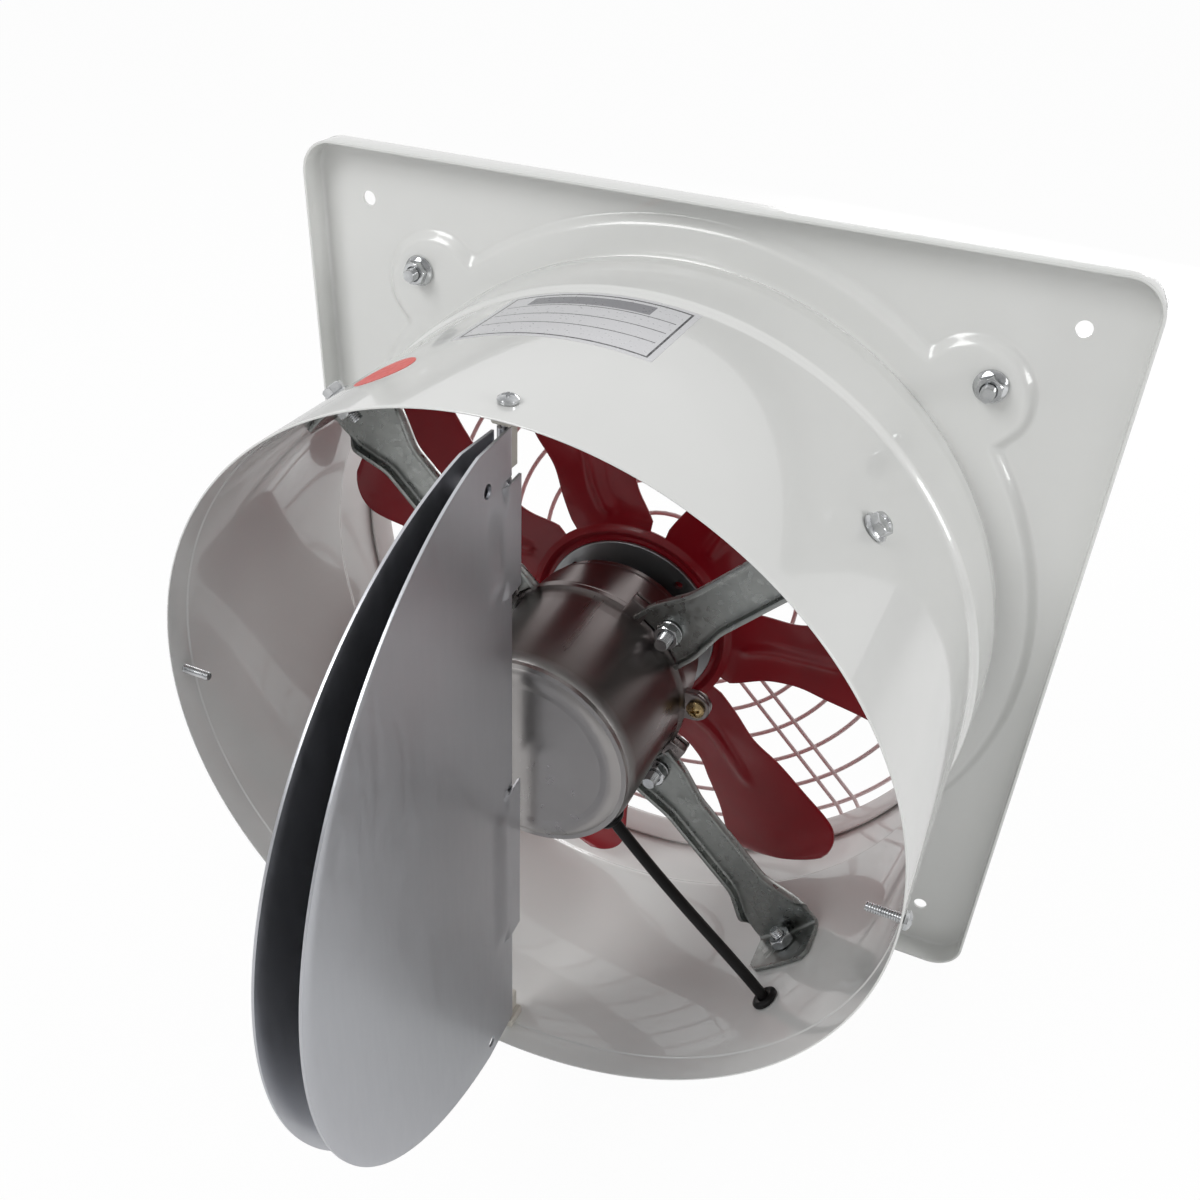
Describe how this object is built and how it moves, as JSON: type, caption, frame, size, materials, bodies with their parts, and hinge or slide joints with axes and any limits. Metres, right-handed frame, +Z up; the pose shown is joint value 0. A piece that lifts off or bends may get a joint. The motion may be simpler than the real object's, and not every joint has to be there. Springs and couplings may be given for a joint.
{
  "type": "axial extractor fan",
  "caption": "Axial extractor fan with a square wall plate, round duct, inlet guard, motor on arms and a shutter of half-disc leaves at the outlet.",
  "frame": {"origin": "on the duct's axis, in the plane of the plate's wall face", "axes": "+X to the right and +Z up as seen from the outlet, +Y along the duct's axis towards the wall"},
  "size_m": [0.37, 0.3145, 0.37],
  "materials": {
    "white_paint": "powder coat, satin",
    "cream_paint": "paint, satin",
    "red_paint": "gloss enamel",
    "drawn_steel": "bare drawn sheet, oiled",
    "zinc_plate": "zinc plated",
    "yellow_zinc": "yellow passivated zinc",
    "satin_aluminium": "satin rolled sheet",
    "guard_wire_steel": "plated wire",
    "black_rubber": "matte",
    "core_steel": "laminated sheet",
    "copper_winding": "varnished copper wire",
    "ground_steel": "ground"
  },
  "bodies": {
    "fan_body": {"arm_1": "zinc_plate", "arm_2": "zinc_plate", "arm_3": "zinc_plate", "arm_4": "zinc_plate", "arm_duct_bolt_1": "zinc_plate", "arm_duct_bolt_2": "zinc_plate", "arm_duct_bolt_3": "zinc_plate", "arm_duct_bolt_4": "zinc_plate", "arm_duct_nut_1": "zinc_plate", "arm_duct_nut_2": "zinc_plate", "arm_duct_nut_3": "zinc_plate", "arm_duct_nut_4": "zinc_plate", "arm_motor_bolt_1": "zinc_plate", "arm_motor_bolt_2": "zinc_plate", "arm_motor_bolt_3": "zinc_plate", "arm_motor_bolt_4": "zinc_plate", "arm_motor_nut_1": "zinc_plate", "arm_motor_nut_2": "zinc_plate", "arm_motor_nut_3": "zinc_plate", "arm_motor_nut_4": "zinc_plate", "duct_drum": "white_paint", "duct_grommet": "black_rubber", "front_bearing": "ground_steel", "guard_bolt_1": "zinc_plate", "guard_bolt_2": "zinc_plate", "guard_bolt_3": "zinc_plate", "guard_bolt_4": "zinc_plate", "guard_nut_1": "zinc_plate", "guard_nut_2": "zinc_plate", "guard_nut_3": "zinc_plate", "guard_nut_4": "zinc_plate", "hinge_bracket_bottom": "cream_paint", "hinge_bracket_top": "cream_paint", "hinge_rod": "ground_steel", "hinge_screw_bottom": "zinc_plate", "hinge_screw_top": "zinc_plate", "motor_cable": "black_rubber", "motor_cable_bush": "black_rubber", "motor_ear_screw_1": "yellow_zinc", "motor_ear_screw_2": "yellow_zinc", "motor_front_cup": "drawn_steel", "motor_rear_cup": "drawn_steel", "mounting_plate": "white_paint", "rear_bearing": "ground_steel", "stator_core": "core_steel", "stator_windings": "copper_winding", "stop_screw_left": "zinc_plate", "stop_screw_right": "zinc_plate", "wire_guard": "guard_wire_steel"},
    "rotor": {"motor_shaft": "ground_steel", "rotor_core": "core_steel", "hub_disc": "zinc_plate", "impeller": "red_paint", "shaft_nut": "zinc_plate"},
    "right_leaf": {"flap_right": "satin_aluminium"},
    "left_leaf": {"flap_left": "satin_aluminium"}
  },
  "joints": [
    {"name": "rotor_spin", "type": "hinge", "parent": "fan_body", "child": "rotor", "pos_m": [0, -0.0436, 0], "axis": [0, -1, 0], "continuous": true},
    {"name": "right_leaf_swing", "type": "hinge", "parent": "fan_body", "child": "right_leaf", "pos_m": [-0.0015, -0.164, 0], "axis": [0, 0, 1], "range_deg": [-3.4, 83.2]},
    {"name": "left_leaf_swing", "type": "hinge", "parent": "fan_body", "child": "left_leaf", "pos_m": [-0.0015, -0.164, 0], "axis": [0, 0, 1], "range_deg": [-85, 1.6]}
  ]
}
